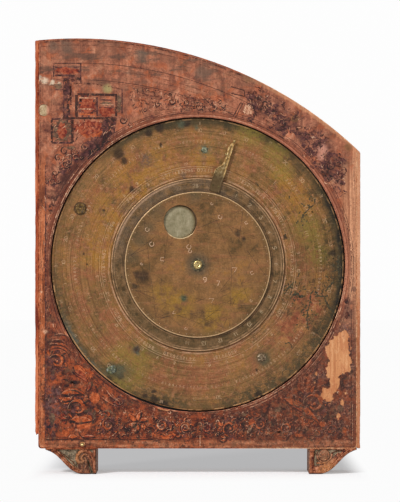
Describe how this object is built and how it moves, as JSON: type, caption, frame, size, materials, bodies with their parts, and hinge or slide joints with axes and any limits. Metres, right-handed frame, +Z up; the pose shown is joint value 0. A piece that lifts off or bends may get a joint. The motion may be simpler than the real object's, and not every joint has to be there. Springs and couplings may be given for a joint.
{
  "type": "horary quadrant",
  "caption": "Standing wooden quadrant board with a curved top and bracket feet, carrying a round brass calendar dial with a turning age-of-the-moon disc, sun index and lunar disc.",
  "frame": {"origin": "centre of the bounding box's base: on the floor under the board's middle, midway between the post's head and the backs of the feet", "axes": "+X to the right seen from the front, +Y backwards, +Z up; the dial faces -Y"},
  "size_m": [0.2212, 0.04, 0.2964],
  "materials": {
    "board_wood": "old pale softwood, worn and waxed",
    "printed_paper": "printed and painted paper under aged red-brown varnish",
    "lath_wood": "thin painted and varnished lath, rubbed at the edges",
    "plug_wood": "bare pale wood",
    "foot_wood": "carved, painted and varnished wood with rubbed high spots",
    "bright_brass": "bright rubbed brass",
    "plate_brass": "engraved brass with brown and green tarnish",
    "nail_iron": "hammered nail heads, grey and corroded",
    "age_brass": "engraved brass with dark olive tarnish",
    "moon_silvering": "silvered metal, dull and scratched",
    "index_brass": "brass, dark at the root and rubbed bright on the edges",
    "lunar_brass": "engraved brass with brown tarnish and a bright bevelled rim",
    "washer_brass": "grimy brass"
  },
  "bodies": {
    "board": {"panel": "board_wood", "printed_facing": "printed_paper", "left_edge_lath": "lath_wood", "right_edge_lath": "lath_wood", "edge_plug": "plug_wood", "left_foot": "foot_wood", "right_foot": "foot_wood", "foot_dowels": "plug_wood", "apex_pin": "bright_brass", "calendar_plate": "plate_brass", "plate_nails": "nail_iron", "pivot_post": "bright_brass", "head_washer": "washer_brass", "lower_spacer": "washer_brass", "upper_spacer": "washer_brass", "rear_rove": "washer_brass"},
    "age_disc": {"age_disc": "age_brass", "moon_roundel": "moon_silvering", "sun_index": "index_brass", "index_rivets": "index_brass"},
    "lunar_disc": {"lunar_disc": "lunar_brass"}
  },
  "joints": [
    {"name": "age_disc_turn", "type": "hinge", "parent": "board", "child": "age_disc", "pos_m": [0, -0.016, 0.1425], "axis": [0, 1, 0], "continuous": true},
    {"name": "lunar_disc_turn", "type": "hinge", "parent": "board", "child": "lunar_disc", "pos_m": [0, -0.018, 0.1425], "axis": [0, 1, 0], "continuous": true}
  ]
}
